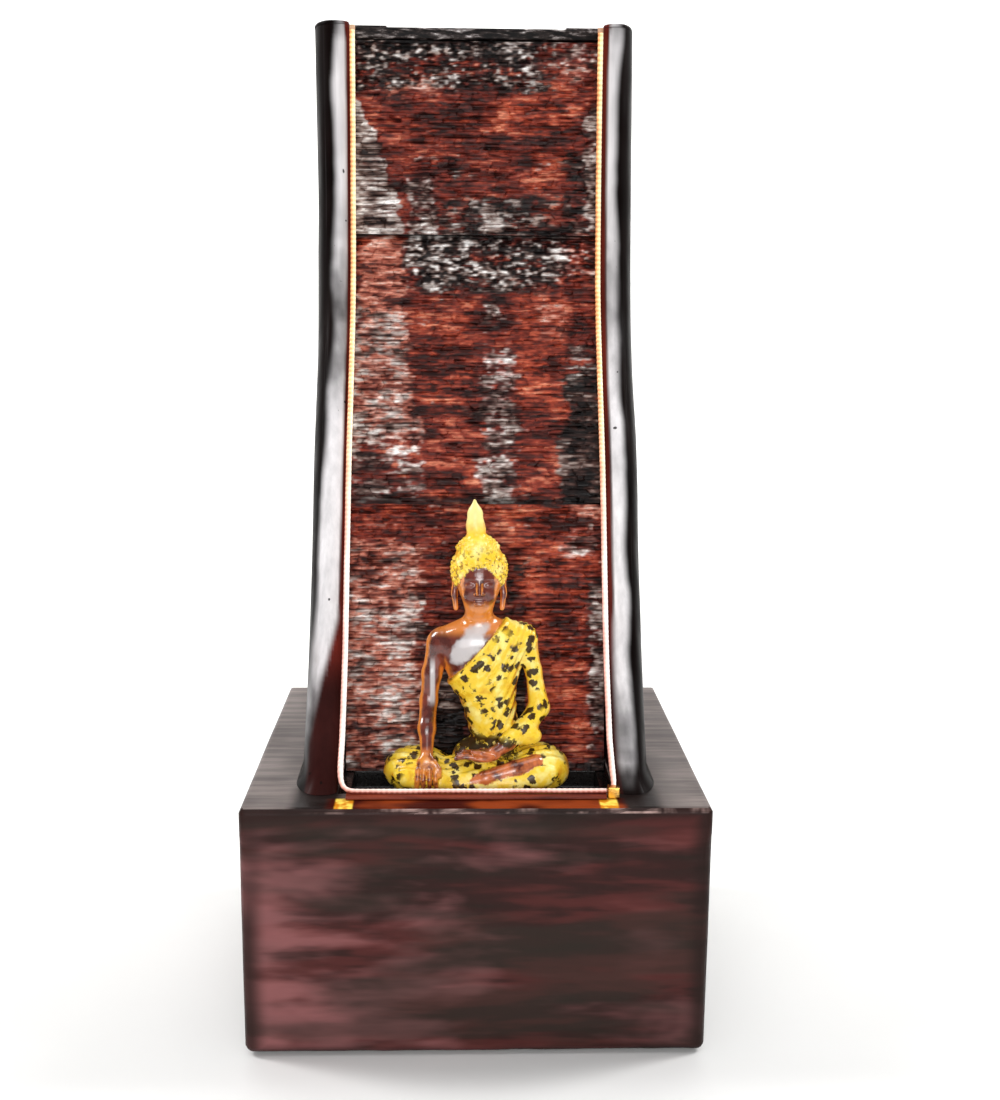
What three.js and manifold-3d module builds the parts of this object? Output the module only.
// A tabletop LED cascade fountain: a box base with a reservoir and pump, a slide-shaped column with three
// stepped panels between two half-round rails, an LED rope along the rails and a seated figure in a small pool.
// Millimetres, +Z up, +Y to the back. The origin is the centre of the base's footprint, on the table.
import * as THREE from 'three';
import { mergeVertices } from 'three/addons/utils/BufferGeometryUtils.js';
import Module from 'manifold-3d';

const wasm = await Module();
wasm.setup();

// ---- driving dimensions ----
const GAP = 0.3; // left between pieces that touch
const BASE_WIDTH = 290;
const BASE_DEPTH = 265;
const BASE_BOTTOM = 1;
const DECK = 163.5;
const DECK_THICK = 5;
const WALL = 5;
const REAR_WALL = 10;
const EDGE_ROUND = 3;
const CORNER_ROUND = 5;

const COLUMN_HALF = 111; // outer face of a rail
const RAIL_INNER = 87.3; // inner face of a rail
const RAIL_WALL = 4;
const NOSE_DEPTH = 28; // the half-round nose stands this far in front of the rail's side wall
const NOSE_RADIUS = 14;
const INNER_WALL_DEPTH = 50;
const COLUMN_TOP = 653;
const COLUMN_BACK = 118;
const CAP_THICK = 2.2;
const CAP_PROUD = 0.3; // how far a cap stands out past its rail
const FOOT_FLARE = 4;
const FOOT_FLARE_HEIGHT = 11;
const COVER_THICK = 4;

const POOL = { x: 80, front: -104, back: -50, floor: 147, wall: 3 };
const OPENING = { x: 86.4, front: -106, back: -28 };
const TRAY_RIM = { x: 92, front: -110, back: -24 };

const PANEL_HALF = 85.8;
const PANEL_FOOT = 158.8;
const TIERS = [PANEL_FOOT, 332, 511, 643]; // lower edges of the three panels, and the upper edge of the top one
const PANEL_THICK = 10;
const PANEL_PROUD = 5; // how far a panel's lower edge stands in front of the panel below
const BACKER_THICK = 3;

const LED_RADIUS = 2;
const LED_X = 85;
const LED_OFFSET = -26; // from the side profile to the middle of the rope
const LED_FRONT = { y: -113, z: 168.5 };

const PUMP = { x: -20, y: -10, z: 40, length: 48, depth: 40, height: 42 };
const CHAMBER = { radius: 13, depth: 12 };
const ROTOR = { radius: 7.8, bore: 8.5, length: 22 };
const SHAFT_RADIUS = 1.25;
const HOSE = { outer: 7, inner: 5, y: 102.5, top: 626 };

// ---- the column's side profile: y of the side wall's front edge at each height ----
const SIDE_PROFILE = new THREE.SplineCurve([
  new THREE.Vector2(150, -89),
  new THREE.Vector2(190, -62),
  new THREE.Vector2(240, -30),
  new THREE.Vector2(300, -5),
  new THREE.Vector2(360, 20),
  new THREE.Vector2(420, 52),
  new THREE.Vector2(470, 75),
  new THREE.Vector2(530, 85),
  new THREE.Vector2(600, 91),
  new THREE.Vector2(660, 93),
]);

// ---- front face of the sheet behind the panels ----
const BACKER_PROFILE = new THREE.SplineCurve([
  new THREE.Vector2(150, -38),
  new THREE.Vector2(240, -18),
  new THREE.Vector2(330, 3),
  new THREE.Vector2(420, 48),
  new THREE.Vector2(470, 70),
  new THREE.Vector2(530, 81),
  new THREE.Vector2(600, 87),
  new THREE.Vector2(660, 89),
]);

function heightLookup(curve) {
  const points = curve.getPoints(200);
  return (z) => {
    let i = 1;
    while (i < points.length - 1 && points[i].x < z) i += 1;
    const a = points[i - 1];
    const b = points[i];
    return a.y + (b.y - a.y) * ((z - a.x) / (b.x - a.x));
  };
}

const sideY = heightLookup(SIDE_PROFILE);
const backerY = heightLookup(BACKER_PROFILE);

// ---- materials ----
function finish(color, roughness, metalness) {
  return new THREE.MeshStandardMaterial({ color, roughness, metalness });
}

const LACQUER = finish(0x4a2c2e, 0.32, 0.1);
const SLATE = finish(0x5a2a22, 0.4, 0.1);
const BLACK = finish(0x16120f, 0.35, 0);
const RUBBER = finish(0x1c1c1c, 0.85, 0);
const PLASTIC = finish(0x2b2d30, 0.55, 0);
const GREY_PLASTIC = finish(0x8d8f92, 0.5, 0);
const LED = finish(0xffdfa8, 0.3, 0);
const BRASS = finish(0xc79a3e, 0.3, 0.9);
const STEEL = finish(0xa9abad, 0.35, 0.9);
const GOLD = finish(0xd9a93a, 0.35, 0.6);
const CERAMIC = finish(0xe9e6df, 0.3, 0);
const HOSE_CLEAR = finish(0xcfd3cf, 0.3, 0);

// ---- solids: closed meshes that can be joined and cut ----
function solid(geometry) {
  const plain = geometry.clone();
  plain.deleteAttribute('normal');
  plain.deleteAttribute('uv');
  const merged = mergeVertices(plain, 1e-4);
  const vertProperties = new Float32Array(merged.attributes.position.array);
  const triVerts = new Uint32Array(merged.index.array);
  return new wasm.Manifold(new wasm.Mesh({ numProp: 3, vertProperties, triVerts }));
}

function geometryOf(manifold) {
  const mesh = manifold.getMesh();
  const geometry = new THREE.BufferGeometry();
  geometry.setAttribute('position', new THREE.BufferAttribute(new Float32Array(mesh.vertProperties), 3));
  geometry.setIndex(new THREE.BufferAttribute(new Uint32Array(mesh.triVerts), 1));
  return geometry;
}

function join(geometries) {
  return geometryOf(geometries.map(solid).reduce((a, b) => a.add(b)));
}

function cut(geometry, tools) {
  return geometryOf(tools.map(solid).reduce((a, b) => a.subtract(b), solid(geometry)));
}

// A box from its lowest to its highest corner.
function block(low, high) {
  const size = high.map((value, i) => value - low[i]);
  const middle = high.map((value, i) => (value + low[i]) / 2);
  return new THREE.BoxGeometry(...size).translate(...middle);
}

// A cylinder between two heights along an axis, 'x', 'y' or 'z'.
function rod(axis, at, from, to, radius, sides = 16) {
  const geometry = new THREE.CylinderGeometry(radius, radius, to - from, sides);
  const middle = (from + to) / 2;
  if (axis === 'z') return geometry.rotateX(Math.PI / 2).translate(at[0], at[1], middle);
  if (axis === 'y') return geometry.translate(at[0], middle, at[1]);
  return geometry.rotateZ(Math.PI / 2).translate(middle, at[0], at[1]);
}

// A turned piece about a vertical axis, from a closed profile of [radius, height].
function turned(profile, x, y, segments = 20) {
  const points = profile.map(([radius, height]) => new THREE.Vector2(radius, height));
  points.push(points[0].clone());
  return new THREE.LatheGeometry(points, segments).rotateX(Math.PI / 2).translate(x, y, 0);
}

function roundedRectangle(halfX, halfY, radius) {
  const shape = new THREE.Shape();
  shape.moveTo(-halfX + radius, -halfY);
  shape.lineTo(halfX - radius, -halfY);
  shape.absarc(halfX - radius, -halfY + radius, radius, -Math.PI / 2, 0);
  shape.absarc(halfX - radius, halfY - radius, radius, 0, Math.PI / 2);
  shape.absarc(-halfX + radius, halfY - radius, radius, Math.PI / 2, Math.PI);
  shape.absarc(-halfX + radius, -halfY + radius, radius, Math.PI, Math.PI * 1.5);
  return shape;
}

// A plate standing on z = low, with rounded corners.
function plate(halfX, halfY, radius, low, high) {
  const shape = roundedRectangle(halfX, halfY, radius);
  const options = { depth: high - low, bevelEnabled: false, curveSegments: 3 };
  return new THREE.ExtrudeGeometry(shape, options).translate(0, 0, low);
}

// A closed outline of [y, z] points drawn out along X.
function acrossX(points, lowX, highX) {
  const shape = new THREE.Shape(points.map(([y, z]) => new THREE.Vector2(y, z)));
  const geometry = new THREE.ExtrudeGeometry(shape, { depth: highX - lowX, bevelEnabled: false });
  // the outline's x becomes Y, its y becomes Z, and its depth becomes X
  const turn = new THREE.Matrix4().makeBasis(
    new THREE.Vector3(0, 1, 0),
    new THREE.Vector3(0, 0, 1),
    new THREE.Vector3(1, 0, 0),
  );
  return geometry.applyMatrix4(turn).translate(lowX, 0, 0);
}

function circle(radius, sides) {
  const shape = new THREE.Shape();
  for (let i = 0; i < sides; i += 1) {
    const angle = (2 * Math.PI * i) / sides;
    const point = [radius * Math.cos(angle), radius * Math.sin(angle)];
    if (i === 0) shape.moveTo(...point);
    else shape.lineTo(...point);
  }
  return shape;
}

// A round bar or, with a bore, a hose along a curve through the points.
function tube(points, radius, steps, bore = 0) {
  const sides = 8;
  const path = new THREE.CatmullRomCurve3(points.map((p) => new THREE.Vector3(...p)), false, 'centripetal');
  const shape = circle(radius, sides);
  if (bore > 0) shape.holes.push(circle(bore, sides));
  return new THREE.ExtrudeGeometry(shape, { steps, bevelEnabled: false, extrudePath: path });
}

function ball(radii, centre, segments = 10) {
  const geometry = new THREE.SphereGeometry(1, segments, Math.round(segments * 0.7));
  return geometry.scale(...radii).translate(...centre);
}

// A limb: a tapered round bar between two points.
function limb(from, to, radiusFrom, radiusTo) {
  const start = new THREE.Vector3(...from);
  const end = new THREE.Vector3(...to);
  const sides = 8;
  const geometry = new THREE.CylinderGeometry(radiusTo, radiusFrom, start.distanceTo(end), sides);
  const up = new THREE.Vector3(0, 1, 0);
  const direction = end.clone().sub(start).normalize();
  geometry.applyQuaternion(new THREE.Quaternion().setFromUnitVectors(up, direction));
  const middle = start.clone().add(end).multiplyScalar(0.5);
  return geometry.translate(middle.x, middle.y, middle.z);
}

const object = new THREE.Group();

function part(name, geometry, material, parent = object) {
  const mesh = new THREE.Mesh(geometry, material);
  mesh.name = name;
  parent.add(mesh);
  return mesh;
}

// ---- base ----
const HATCH = { halfX: 72, low: 33, high: 133, rebate: 7 };
const HATCH_OPENING = { halfX: 64, low: 41, high: 125 };
const GROMMET = { x: -100, z: 34, radius: 7 };
const RISER_HOLE = { x: 28, front: 78, back: 114 };
const WIRE_HOLE = { x: 86, y: -113.5, radius: 2 };

function baseShell() {
  const halfX = BASE_WIDTH / 2;
  const halfY = BASE_DEPTH / 2;
  const shape = roundedRectangle(halfX - EDGE_ROUND, halfY - EDGE_ROUND, CORNER_ROUND);
  const outer = new THREE.ExtrudeGeometry(shape, {
    depth: DECK - BASE_BOTTOM - 2 * EDGE_ROUND,
    bevelThickness: EDGE_ROUND,
    bevelSize: EDGE_ROUND,
    bevelSegments: 2,
    curveSegments: 3,
  }).translate(0, 0, BASE_BOTTOM + EDGE_ROUND);
  const back = halfY - REAR_WALL;
  const inside = block([-halfX + WALL, -halfY + WALL, BASE_BOTTOM - 1], [halfX - WALL, back, DECK - DECK_THICK]);
  const pool = block([-OPENING.x, OPENING.front, DECK - 10], [OPENING.x, OPENING.back, DECK + 1]);
  const riser = block([-RISER_HOLE.x, RISER_HOLE.front, DECK - 10], [RISER_HOLE.x, RISER_HOLE.back, DECK + 1]);
  const hatch = block([-HATCH.halfX, halfY - HATCH.rebate, HATCH.low], [HATCH.halfX, halfY + 1, HATCH.high]);
  const window = block(
    [-HATCH_OPENING.halfX, back - 1, HATCH_OPENING.low],
    [HATCH_OPENING.halfX, halfY + 1, HATCH_OPENING.high],
  );
  const cable = rod('y', [GROMMET.x, GROMMET.z], back - 1, halfY + 1, GROMMET.radius + GAP);
  const wire = rod('z', [WIRE_HOLE.x, WIRE_HOLE.y], DECK - 10, DECK + 1, WIRE_HOLE.radius, 8);
  return cut(outer, [inside, pool, riser, hatch, window, cable, wire]);
}

part('base_shell', baseShell(), LACQUER);

const FLOOR = { low: 4, high: 8 };
const floorHalfX = BASE_WIDTH / 2 - WALL - GAP;
const floorFront = -BASE_DEPTH / 2 + WALL + GAP;
const floorBack = BASE_DEPTH / 2 - REAR_WALL - GAP;
part('base_floor_plate', block([-floorHalfX, floorFront, FLOOR.low], [floorHalfX, floorBack, FLOOR.high]), BLACK);

const FOOT = { x: 122, front: -108, back: 104, radius: 10 };
for (const [name, x, y] of [
  ['foot_front_left', -FOOT.x, FOOT.front],
  ['foot_front_right', FOOT.x, FOOT.front],
  ['foot_rear_left', -FOOT.x, FOOT.back],
  ['foot_rear_right', FOOT.x, FOOT.back],
]) {
  part(name, rod('z', [x, y], 0, FLOOR.low - GAP, FOOT.radius), RUBBER);
}

// the hatch, its gasket and the grommet fill the rear wall's openings and stay inside the footprint
const rearFace = BASE_DEPTH / 2;
const GASKET_THICK = 1.5;
const hatchFront = rearFace - HATCH.rebate + GAP + GASKET_THICK + GAP;

function gasket() {
  const y = rearFace - HATCH.rebate + GAP;
  const ring = block([-HATCH.halfX + 1, y, HATCH.low + 1], [HATCH.halfX - 1, y + GASKET_THICK, HATCH.high - 1]);
  const hole = block(
    [-HATCH_OPENING.halfX - 1, y - 1, HATCH_OPENING.low - 1],
    [HATCH_OPENING.halfX + 1, y + GASKET_THICK + 1, HATCH_OPENING.high + 1],
  );
  return cut(ring, [hole]);
}

function rearHatch() {
  const margin = 0.6;
  const board = block(
    [-HATCH.halfX + margin, hatchFront, HATCH.low + margin],
    [HATCH.halfX - margin, rearFace - 0.6, HATCH.high - margin],
  );
  const pull = { x: 16, low: HATCH.high - 22, high: HATCH.high - 12, depth: 2.4 };
  const recess = block([-pull.x, rearFace - 0.6 - pull.depth, pull.low], [pull.x, rearFace + 1, pull.high]);
  return cut(board, [recess]);
}

part('hatch_gasket', gasket(), RUBBER);
part('rear_hatch', rearHatch(), LACQUER);

function grommet() {
  const hole = 3.4;
  const body = rod('y', [GROMMET.x, GROMMET.z], rearFace - REAR_WALL - 2, rearFace - 0.4, GROMMET.radius);
  return cut(body, [rod('y', [GROMMET.x, GROMMET.z], rearFace - REAR_WALL - 4, rearFace + 1, hole, 12)]);
}

part('cable_grommet', grommet(), RUBBER);

const TUB = { x: 130, front: -121, back: 40, low: 8.3, high: 118, wall: 3 };

function reservoirTub() {
  const outer = block([-TUB.x, TUB.front, TUB.low], [TUB.x, TUB.back, TUB.high]);
  const inner = block(
    [-TUB.x + TUB.wall, TUB.front + TUB.wall, TUB.low + TUB.wall],
    [TUB.x - TUB.wall, TUB.back - TUB.wall, TUB.high + 1],
  );
  return cut(outer, [inner]);
}

part('reservoir_tub', reservoirTub(), BLACK);

// ---- pool tray: a rim under the deck, a sunk pool with drain slots, and the figure's pad ----
const RIM_TOP = DECK - DECK_THICK - GAP;
const RIM_THICK = 3;
const PAD = { x: 50, front: -99, back: -53 };

function basinTray() {
  const rim = block([-TRAY_RIM.x, TRAY_RIM.front, RIM_TOP - RIM_THICK], [TRAY_RIM.x, TRAY_RIM.back, RIM_TOP]);
  const well = block(
    [-POOL.x - POOL.wall, POOL.front - POOL.wall, POOL.floor - POOL.wall],
    [POOL.x + POOL.wall, POOL.back + POOL.wall, RIM_TOP - 1],
  );
  const hollow = block([-POOL.x, POOL.front, POOL.floor], [POOL.x, POOL.back, RIM_TOP + 1]);
  const pad = block([-PAD.x, PAD.front, POOL.floor - 1], [PAD.x, PAD.back, RIM_TOP]);
  const slots = [];
  const slotPitch = 9;
  const slotCount = 5;
  for (const side of [-1, 1]) {
    for (let i = 0; i < slotCount; i += 1) {
      const y = POOL.front + 9 + i * slotPitch;
      const inner = side < 0 ? -POOL.x + 5 : PAD.x + 5;
      slots.push(block([inner, y, POOL.floor - 10], [inner + 20, y + 4, POOL.floor + 1]));
    }
  }
  const tray = cut(join([rim, well]), [hollow, ...slots]);
  return join([tray, pad]);
}

part('basin_tray', basinTray(), BLACK);

const SILL = { x: 80.8, front: -118, back: -109, top: LED_FRONT.z - LED_RADIUS - GAP };
const sillOutline = [
  [SILL.front, DECK + GAP],
  [SILL.back, DECK + GAP],
  [SILL.back, SILL.top],
  [SILL.front + 1.5, SILL.top],
  [SILL.front, SILL.top - 1],
];
part('front_sill', acrossX(sillOutline, -SILL.x, SILL.x), LACQUER);

// ---- rails ----
// The right rail's section: x is the row's X, y is measured from the side profile.
function railSection() {
  const shape = new THREE.Shape();
  const outerNose = COLUMN_HALF - NOSE_RADIUS;
  const far = 260;
  shape.moveTo(COLUMN_HALF, far);
  shape.lineTo(COLUMN_HALF, 0);
  shape.absellipse(outerNose, 0, NOSE_RADIUS, NOSE_DEPTH, 0, -Math.PI / 2, true);
  shape.quadraticCurveTo(RAIL_INNER + 1.5, -NOSE_DEPTH, RAIL_INNER, -NOSE_DEPTH + 5);
  shape.lineTo(RAIL_INNER, INNER_WALL_DEPTH);
  shape.lineTo(RAIL_INNER + RAIL_WALL, INNER_WALL_DEPTH);
  shape.lineTo(RAIL_INNER + RAIL_WALL, -NOSE_DEPTH + 8);
  shape.quadraticCurveTo(RAIL_INNER + RAIL_WALL + 1, -NOSE_DEPTH + RAIL_WALL, outerNose, -NOSE_DEPTH + RAIL_WALL);
  shape.absellipse(outerNose, 0, NOSE_RADIUS - RAIL_WALL, NOSE_DEPTH - RAIL_WALL, -Math.PI / 2, 0, false);
  shape.lineTo(COLUMN_HALF - RAIL_WALL, far);
  return shape;
}

// Leans an upright extrusion along the side profile, and flares it outward at the deck.
function followProfile(geometry) {
  const position = geometry.attributes.position;
  for (let i = 0; i < position.count; i += 1) {
    const z = position.getZ(i);
    const low = Math.max(0, 1 - (z - DECK) / FOOT_FLARE_HEIGHT);
    const flare = FOOT_FLARE * low * low;
    const outward = (position.getX(i) - RAIL_INNER) / (COLUMN_HALF - RAIL_INNER);
    position.setX(i, position.getX(i) + flare * Math.min(1, Math.max(0, outward)));
    position.setY(i, position.getY(i) + sideY(z) - flare * 0.5);
  }
  return geometry;
}

// Where the four back-cover screws sit.
const SCREW_HEIGHTS = [205, 600];
const SCREW_X = 97;
const COVER_FRONT = COLUMN_BACK - COVER_THICK - 0.5;

function rail() {
  const low = DECK + GAP;
  const high = COLUMN_TOP - CAP_THICK - GAP;
  const steps = 18;
  const options = { depth: high - low, steps, bevelEnabled: false, curveSegments: 4 };
  const leaning = followProfile(new THREE.ExtrudeGeometry(railSection(), options).translate(0, 0, low));
  const flangeDepth = 4;
  const flange = block(
    [RAIL_INNER, COVER_FRONT - GAP - flangeDepth, low + 20],
    [COLUMN_HALF - RAIL_WALL - 3, COVER_FRONT - GAP, high - 10],
  );
  const behind = block([0, COLUMN_BACK, 0], [200, 500, 900]);
  const behindInner = block([0, COVER_FRONT - GAP, 0], [COLUMN_HALF - RAIL_WALL - 1, 500, 900]);
  const holes = SCREW_HEIGHTS.map((z) => rod('y', [SCREW_X, z], COVER_FRONT - 10, COVER_FRONT + 5, 1.9, 8));
  return cut(join([cut(leaning, [behind, behindInner]), flange]), holes);
}

function mirrored(geometry) {
  const copy = geometry.index ? geometry.toNonIndexed() : geometry.clone();
  copy.scale(-1, 1, 1);
  // a mirrored solid needs its triangles turned the other way round
  const position = copy.attributes.position;
  for (let i = 0; i < position.count; i += 3) {
    const b = [position.getX(i + 1), position.getY(i + 1), position.getZ(i + 1)];
    position.setXYZ(i + 1, position.getX(i + 2), position.getY(i + 2), position.getZ(i + 2));
    position.setXYZ(i + 2, ...b);
  }
  return copy;
}

const railRight = rail();
part('rail_right', railRight, LACQUER);
part('rail_left', mirrored(railRight), LACQUER);

// The caps close the rails' hollow tops.
function railCap() {
  const shape = new THREE.Shape();
  const proud = CAP_PROUD;
  const outerNose = COLUMN_HALF - NOSE_RADIUS;
  const y = sideY(COLUMN_TOP);
  shape.moveTo(COLUMN_HALF + proud, COLUMN_BACK);
  shape.lineTo(COLUMN_HALF + proud, y);
  shape.absellipse(outerNose, y, NOSE_RADIUS + proud, NOSE_DEPTH + proud, 0, -Math.PI / 2, true);
  shape.quadraticCurveTo(RAIL_INNER + 1, y - NOSE_DEPTH - proud, RAIL_INNER, y - NOSE_DEPTH + 4);
  shape.lineTo(RAIL_INNER, COLUMN_BACK);
  const options = { depth: CAP_THICK, bevelEnabled: false, curveSegments: 5 };
  return new THREE.ExtrudeGeometry(shape, options).translate(0, 0, COLUMN_TOP - CAP_THICK);
}

const capRight = railCap();
part('rail_cap_right', capRight, LACQUER);
part('rail_cap_left', mirrored(capRight), LACQUER);

// ---- panels and the sheet that carries them ----
function heights(low, high, count) {
  return Array.from({ length: count + 1 }, (_, i) => low + ((high - low) * i) / count);
}

function cascadePanel(low, high) {
  const levels = heights(low, high, 10);
  const back = levels.map((z) => [backerY(z) - GAP, z]);
  const front = levels.map((z) => {
    const proud = (PANEL_PROUD * (high - z)) / (high - low);
    return [backerY(z) - PANEL_THICK - proud, z];
  });
  return acrossX([...back, ...front.reverse()], -PANEL_HALF, PANEL_HALF);
}

const TIER_GAP = 0.6;
part('cascade_panel_bottom', cascadePanel(TIERS[0], TIERS[1] - TIER_GAP), SLATE);
part('cascade_panel_middle', cascadePanel(TIERS[1], TIERS[2] - TIER_GAP), SLATE);
part('cascade_panel_top', cascadePanel(TIERS[2], TIERS[3] - TIER_GAP), SLATE);

function panelBacker() {
  const levels = heights(PANEL_FOOT, TIERS[3], 24);
  const front = levels.map((z) => [backerY(z), z]);
  const back = levels.map((z) => [backerY(z) + BACKER_THICK, z]);
  return acrossX([...back, ...front.reverse()], -PANEL_HALF, PANEL_HALF);
}

part('panel_backer', panelBacker(), BLACK);

// ---- header trough: its lip lies over the top panel ----
const TROUGH = { low: 629, front: 92.6, back: 112.8, wall: 3, top: 652 };
const LIP = { front: 75, low: TIERS[3] + 0.5, dipHalf: 62, dip: 1.2 };

function headerTrough() {
  const outline = [
    [LIP.front, LIP.low],
    [TROUGH.front, LIP.low],
    [TROUGH.front, TROUGH.low],
    [TROUGH.back, TROUGH.low],
    [TROUGH.back, TROUGH.top],
    [TROUGH.back - TROUGH.wall, TROUGH.top],
    [TROUGH.back - TROUGH.wall, TROUGH.low + TROUGH.wall],
    [TROUGH.front + TROUGH.wall, TROUGH.low + TROUGH.wall],
    [TROUGH.front + TROUGH.wall, TROUGH.top],
    [LIP.front + 3, TROUGH.top],
    [LIP.front, TROUGH.top - 3],
  ];
  const half = RAIL_INNER - 0.5;
  const body = acrossX(outline, -half, half);
  const ends = [-1, 1].map((side) => {
    const outer = side * half;
    const inner = side * (half - TROUGH.wall);
    const low = [Math.min(outer, inner), TROUGH.front + 1, TROUGH.low + 1];
    return block(low, [Math.max(outer, inner), TROUGH.back - 1, TROUGH.top]);
  });
  const dip = block(
    [-LIP.dipHalf, LIP.front - 5, TROUGH.top - LIP.dip],
    [LIP.dipHalf, TROUGH.front + TROUGH.wall + 1, TROUGH.top + 1],
  );
  const inlet = rod('z', [0, HOSE.y], TROUGH.low - 2, TROUGH.low + TROUGH.wall + 1, 5.1, 12);
  return cut(join([body, ...ends]), [dip, inlet]);
}

part('header_trough', headerTrough(), LACQUER);

const inletFloor = TROUGH.low + TROUGH.wall + GAP;
part('trough_inlet_fitting', turned([
  [3, 603], [4.3, 603], [4.3, inletFloor], [6.4, inletFloor], [6.4, inletFloor + 2], [3, inletFloor + 2],
], 0, HOSE.y, 12), PLASTIC);

const SPREADER = { half: 82, radius: 3.6, bore: 2.4, z: 641.6 };

function spreaderBar() {
  const bar = rod('x', [HOSE.y, SPREADER.z], -SPREADER.half, SPREADER.half, SPREADER.radius, 10);
  const bore = rod('x', [HOSE.y, SPREADER.z], -SPREADER.half + 2, SPREADER.half - 2, SPREADER.bore, 8);
  const stub = rod('z', [0, HOSE.y], inletFloor + 2 + GAP, SPREADER.z, 3.2, 10);
  const stubBore = rod('z', [0, HOSE.y], inletFloor, SPREADER.z, 1.9, 8);
  const outlets = [];
  const pitch = 18;
  for (let i = -4; i <= 4; i += 1) {
    outlets.push(rod('z', [i * pitch, HOSE.y], SPREADER.z, SPREADER.z + 6, 1.2, 6));
  }
  return cut(join([bar, stub]), [bore, stubBore, ...outlets]);
}

part('spreader_bar', spreaderBar(), PLASTIC);

// ---- back cover and its screws ----
function backCover() {
  const margin = 0.6;
  const half = COLUMN_HALF - RAIL_WALL - margin;
  const board = block([-half, COVER_FRONT, DECK + 0.5], [half, COVER_FRONT + COVER_THICK, COLUMN_TOP - CAP_THICK - 1]);
  const holes = [];
  for (const x of [-SCREW_X, SCREW_X]) {
    for (const z of SCREW_HEIGHTS) {
      holes.push(rod('y', [x, z], COVER_FRONT - 5, COVER_FRONT + 10, 1.9, 8));
    }
  }
  return cut(board, holes);
}

part('column_back_cover', backCover(), LACQUER);

function screw(x, z) {
  const headLow = COVER_FRONT + COVER_THICK + GAP;
  const shank = rod('y', [x, z], COVER_FRONT - 4, headLow + 0.5, 1.5, 8);
  const head = rod('y', [x, z], headLow, headLow + 2.2, 3.2, 12);
  const slotHalf = 0.5;
  const slot = block([x - 5, headLow + 1.2, z - slotHalf], [x + 5, headLow + 5, z + slotHalf]);
  return cut(join([shank, head]), [slot]);
}

for (const [name, x, z] of [
  ['cover_screw_lower_left', -SCREW_X, SCREW_HEIGHTS[0]],
  ['cover_screw_lower_right', SCREW_X, SCREW_HEIGHTS[0]],
  ['cover_screw_upper_left', -SCREW_X, SCREW_HEIGHTS[1]],
  ['cover_screw_upper_right', SCREW_X, SCREW_HEIGHTS[1]],
]) {
  part(name, screw(x, z), STEEL);
}

// ---- LED rope: down the left rail and across the sill in one piece, and down the right rail ----
function ledRun(side, low, high, count) {
  return heights(low, high, count).map((z) => [side * LED_X, sideY(z) + LED_OFFSET, z]);
}

const ledTop = COLUMN_TOP - CAP_THICK - 4;
const leftRun = ledRun(-1, 190, ledTop, 12).reverse();
const corner = [
  [-84.6, -104, 180],
  [-82, -110, 173],
  [-76, LED_FRONT.y, LED_FRONT.z + 0.6],
];
const across = [-66, -40, 0, 40, 70, 81].map((x) => [x, LED_FRONT.y, LED_FRONT.z]);
part('led_rope_left', tube([...leftRun, ...corner, ...across], LED_RADIUS, 64), LED);
const rightRun = [...ledRun(1, 190, ledTop, 12).reverse(), [LED_X, -105, 179], [LED_X + 0.4, -110, 173.8]];
part('led_rope_right', tube(rightRun, LED_RADIUS, 38), LED);

const CONNECTOR = { low: [81.4, -117, DECK + GAP], high: [88.8, -110, 171] };
part('led_corner_connector', block(CONNECTOR.low, CONNECTOR.high), BRASS);

for (const [name, side] of [['led_end_cap_left', -1], ['led_end_cap_right', 1]]) {
  const y = sideY(ledTop) + LED_OFFSET;
  part(name, rod('z', [side * (LED_X - 0.1), y], ledTop + GAP, ledTop + 3.2, LED_RADIUS, 12), PLASTIC);
}

// ---- pump ----
const pumpLow = PUMP.z - PUMP.height / 2;
const pumpHigh = PUMP.z + PUMP.height / 2;
const pumpEnd = PUMP.x + PUMP.length;
const SPIGOT = { x: PUMP.x + 7, radius: 4.3, bore: 3, top: pumpHigh + 16 };

function pumpBody() {
  const shape = roundedRectangle(PUMP.depth / 2, PUMP.height / 2, 5);
  const options = { depth: PUMP.length, bevelEnabled: false, curveSegments: 3 };
  const turn = new THREE.Matrix4().makeBasis(
    new THREE.Vector3(0, 1, 0),
    new THREE.Vector3(0, 0, 1),
    new THREE.Vector3(1, 0, 0),
  );
  const housing = new THREE.ExtrudeGeometry(shape, options).applyMatrix4(turn).translate(PUMP.x, PUMP.y, PUMP.z);
  const spigot = rod('z', [SPIGOT.x, PUMP.y], pumpHigh - 2, SPIGOT.top, SPIGOT.radius, 12);
  const at = [PUMP.y, PUMP.z];
  const chamber = rod('x', at, PUMP.x - 1, PUMP.x + CHAMBER.depth, CHAMBER.radius, 20);
  const bore = rod('x', at, PUMP.x, PUMP.x + CHAMBER.depth + ROTOR.length + 1, ROTOR.bore, 20);
  const seat = rod('x', at, PUMP.x, PUMP.x + CHAMBER.depth + ROTOR.length + 6, SHAFT_RADIUS + GAP, 10);
  const outlet = rod('z', [SPIGOT.x, PUMP.y], PUMP.z + 5, SPIGOT.top + 1, SPIGOT.bore, 10);
  const lead = rod('x', [PUMP.y, PUMP.z - 8], pumpEnd - 4, pumpEnd + 1, 2.9, 8);
  return cut(join([housing, spigot]), [chamber, bore, seat, outlet, lead]);
}

part('pump_body', pumpBody(), PLASTIC);

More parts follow.
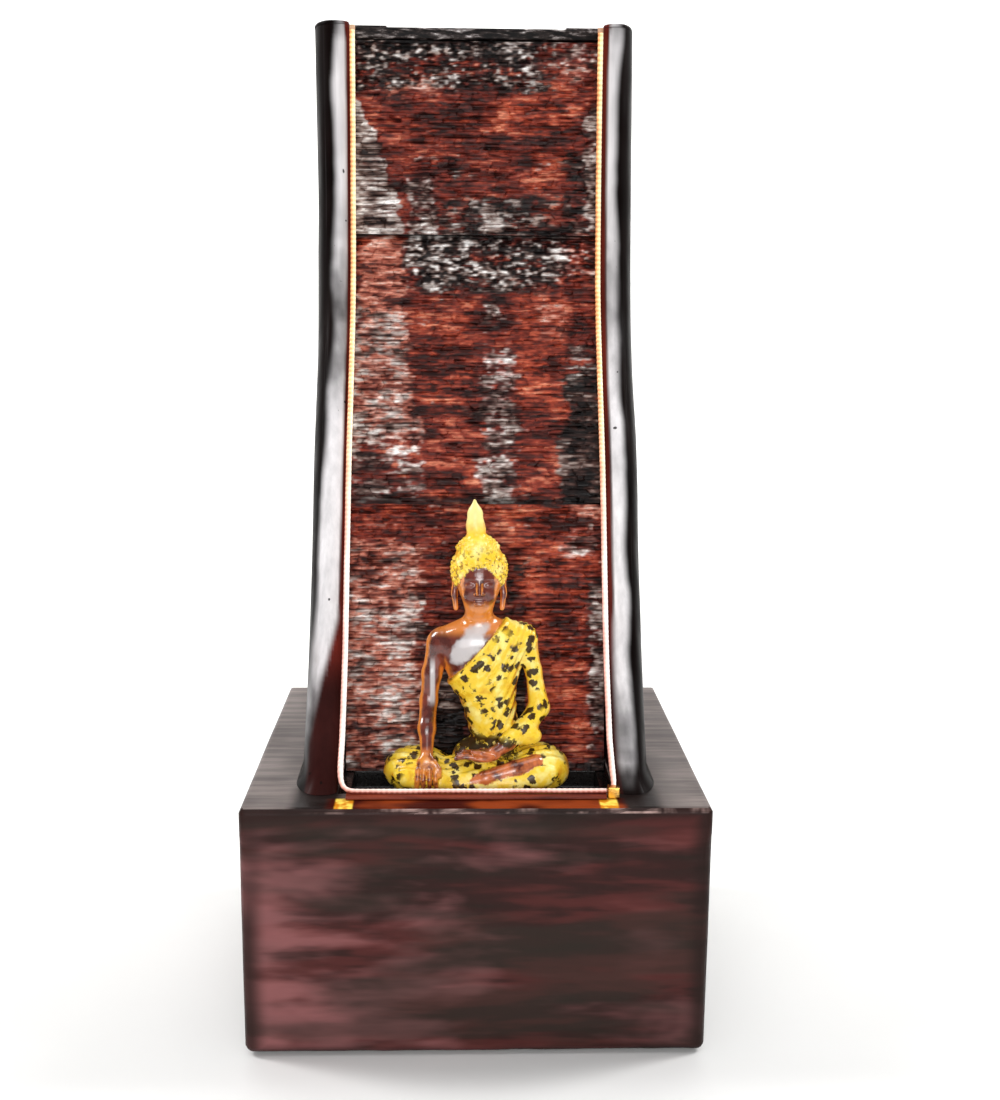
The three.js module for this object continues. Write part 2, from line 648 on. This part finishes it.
function impeller() {
  const at = [PUMP.y, PUMP.z];
  const hubLow = PUMP.x + 1.5;
  const magnet = rod('x', at, PUMP.x + CHAMBER.depth - 2, PUMP.x + CHAMBER.depth + ROTOR.length, ROTOR.radius, 16);
  const hub = rod('x', at, hubLow, PUMP.x + CHAMBER.depth, 4, 12);
  const blades = [];
  const bladeCount = 6;
  for (let i = 0; i < bladeCount; i += 1) {
    const blade = new THREE.BoxGeometry(8, 1.6, 9.5).translate(hubLow + 4, 0, 6.5);
    blades.push(blade.rotateX((2 * Math.PI * i) / bladeCount).translate(0, PUMP.y, PUMP.z));
  }
  const bore = rod('x', at, hubLow - 1, PUMP.x + CHAMBER.depth + ROTOR.length + 1, SHAFT_RADIUS + 0.1, 10);
  return cut(join([magnet, hub, ...blades]), [bore]);
}

part('pump_impeller', impeller(), GREY_PLASTIC);
const shaftEnd = PUMP.x + CHAMBER.depth + ROTOR.length + 5.5;
part('impeller_shaft', rod('x', [PUMP.y, PUMP.z], PUMP.x + 0.3, shaftEnd, SHAFT_RADIUS, 10), CERAMIC);

const INTAKE = { thick: 3, slotHalf: 1.3, slotLength: 9 };
const intakeBack = PUMP.x - GAP;

function intakeCover() {
  const board = block(
    [intakeBack - INTAKE.thick, PUMP.y - PUMP.depth / 2, pumpLow],
    [intakeBack, PUMP.y + PUMP.depth / 2, pumpHigh],
  );
  const slots = [];
  for (const side of [-1, 1]) {
    for (let i = -2; i <= 2; i += 1) {
      const z = PUMP.z + i * 6.5;
      const y = PUMP.y + side * 13.5;
      slots.push(block(
        [intakeBack - 10, y - INTAKE.slotLength / 2, z - INTAKE.slotHalf],
        [intakeBack + 1, y + INTAKE.slotLength / 2, z + INTAKE.slotHalf],
      ));
    }
  }
  const inlet = rod('x', [PUMP.y, PUMP.z], intakeBack - 10, intakeBack + 1, 5, 14);
  return cut(board, [...slots, inlet]);
}

part('pump_intake_cover', intakeCover(), PLASTIC);

function flowKnob() {
  const face = intakeBack - INTAKE.thick - GAP;
  const at = [PUMP.y, PUMP.z];
  const disc = rod('x', at, face - 3, face, 8.4, 18);
  const grip = block([face - 6, PUMP.y - 1.4, PUMP.z - 7.5], [face - 2.5, PUMP.y + 1.4, PUMP.z + 7.5]);
  const ports = [-1, 1].map((side) => rod('x', [PUMP.y + side * 5, PUMP.z], face - 8, face + 1, 1.8, 8));
  const hub = rod('x', at, face - 1, intakeBack - 0.6, 3.6, 12);
  return cut(join([disc, grip, hub]), ports);
}

part('flow_knob', flowKnob(), GREY_PLASTIC);

const cupTop = pumpLow - GAP;
const cupFloor = TUB.low + TUB.wall + GAP;
for (const [name, x, y] of [
  ['suction_cup_front_left', PUMP.x + 8, PUMP.y - 12],
  ['suction_cup_front_right', pumpEnd - 8, PUMP.y - 12],
  ['suction_cup_rear_left', PUMP.x + 8, PUMP.y + 12],
  ['suction_cup_rear_right', pumpEnd - 8, PUMP.y + 12],
]) {
  part(name, turned([
    [0, cupFloor + 2], [3.5, cupFloor + 1.2], [6.5, cupFloor], [7, cupFloor + 0.6], [3, cupFloor + 4],
    [3, cupTop], [0, cupTop],
  ], x, y, 10), RUBBER);
}

// ---- riser hose and its clamps ----
const hoseStart = pumpHigh + GAP;
const hoseRoute = [
  [SPIGOT.x, PUMP.y, hoseStart],
  [SPIGOT.x, PUMP.y, hoseStart + 14],
  [SPIGOT.x, PUMP.y + 2, hoseStart + 30],
  [SPIGOT.x + 2, 16, 122],
  [SPIGOT.x + 7, 50, 137],
  [-3, 82, 147],
  [0, 99, 170],
  [0, HOSE.y, 205],
  [0, HOSE.y, 300],
  [0, HOSE.y, 400],
  [0, HOSE.y, 500],
  [0, HOSE.y, HOSE.top],
];
part('riser_hose', tube(hoseRoute, HOSE.outer, 30, HOSE.inner), HOSE_CLEAR);

function hoseClamp(x, y, low) {
  const inner = HOSE.outer + GAP;
  const outer = inner + 1.4;
  const band = turned([[inner, low], [outer, low], [outer, low + 6], [inner, low + 6]], x, y, 16);
  return join([band, block([x - outer - 3, y - 2.5, low], [x - outer + 0.6, y + 2.5, low + 6])]);
}

part('hose_clamp_lower', hoseClamp(SPIGOT.x, PUMP.y, hoseStart + 3), STEEL);
part('hose_clamp_upper', hoseClamp(0, HOSE.y, 609), STEEL);

// ---- power box and its leads ----
const BOX = { low: [20, 62, FLOOR.high + GAP], high: [112, 112, 52] };

function powerBox() {
  const middleX = (BOX.low[0] + BOX.high[0]) / 2;
  const middleY = (BOX.low[1] + BOX.high[1]) / 2;
  const halfX = (BOX.high[0] - BOX.low[0]) / 2;
  const halfY = (BOX.high[1] - BOX.low[1]) / 2;
  return plate(halfX, halfY, 4, BOX.low[2], BOX.high[2]).translate(middleX, middleY, 0);
}

part('power_box', powerBox(), PLASTIC);
part('led_feed_wire', tube([
  [100, 75, BOX.high[2] + GAP],
  [100, 75, 80],
  [100, 74, 120],
  [100, 62, 140],
  [100, 30, 147],
  [100, -40, 147],
  [98, -85, 147],
  [90, -108, 148],
  [WIRE_HOLE.x, WIRE_HOLE.y, 155],
  [WIRE_HOLE.x, WIRE_HOLE.y, DECK + GAP - 0.4],
], 1.2, 26), RUBBER);
part('pump_lead', tube([
  [pumpEnd - 3.5, PUMP.y, PUMP.z - 8],
  [pumpEnd + 12, PUMP.y, PUMP.z - 8],
  [pumpEnd + 30, PUMP.y + 4, 48],
  [pumpEnd + 38, 8, 95],
  [pumpEnd + 38, 26, 124],
  [pumpEnd + 38, 50, 126],
  [pumpEnd + 36, 68, 100],
  [pumpEnd + 34, 72, 75],
  [pumpEnd + 34, 72, BOX.high[2] + GAP],
], 2.5, 26), RUBBER);

// ---- seated figure: legs crossed, one hand over the knee, the other in the lap ----
const FIGURE = { y: -77, low: RIM_TOP + GAP };

function seatedFigure() {
  const { y } = FIGURE;
  const joint = (radius, x, back, z) => ball([radius, radius, radius], [x, y + back, z], 8);
  const body = [
    ball([58, 24, 13], [0.5, y, 171], 14),
    ball([19, 20, 13], [-39, y - 2, 172]),
    ball([19, 20, 14], [39, y - 2, 172]),
    limb([5, y + 4, 172], [4, y + 4, 216], 20, 15),
    ball([22, 13, 26], [3.5, y + 3, 238]),
    limb([-22, y + 3, 252], [30, y + 3, 253], 9, 9.5),
    joint(8, -23, 3, 252),
    limb([-25, y + 3, 253], [-30.5, y + 2, 214], 6.5, 5.6),
    limb([-30.5, y + 2, 216], [-32, y - 16, 174], 6, 5),
    joint(9, 31, 3, 252),
    limb([33, y + 3, 254], [40.5, y + 2, 211], 7.2, 6),
    joint(6.6, 40.5, 2, 212),
    limb([41, y + 2, 211], [4, y - 18, 189], 6.4, 5),
    limb([2, y + 2, 252], [1.5, y + 1, 280], 10, 9),
    ball([14, 14, 17], [1.5, y, 286]),
    ball([17.6, 16, 15], [1.5, y + 3, 298]),
    limb([1, y + 3, 304], [0, y + 3, 325], 12, 5),
    limb([0, y + 3, 321], [-1, y + 3, 344], 5.6, 1.4),
  ];
  return cut(join(body), [block([-100, -200, 100], [100, 0, FIGURE.low])]);
}

part('seated_figure', seatedFigure(), GOLD);

export default object;
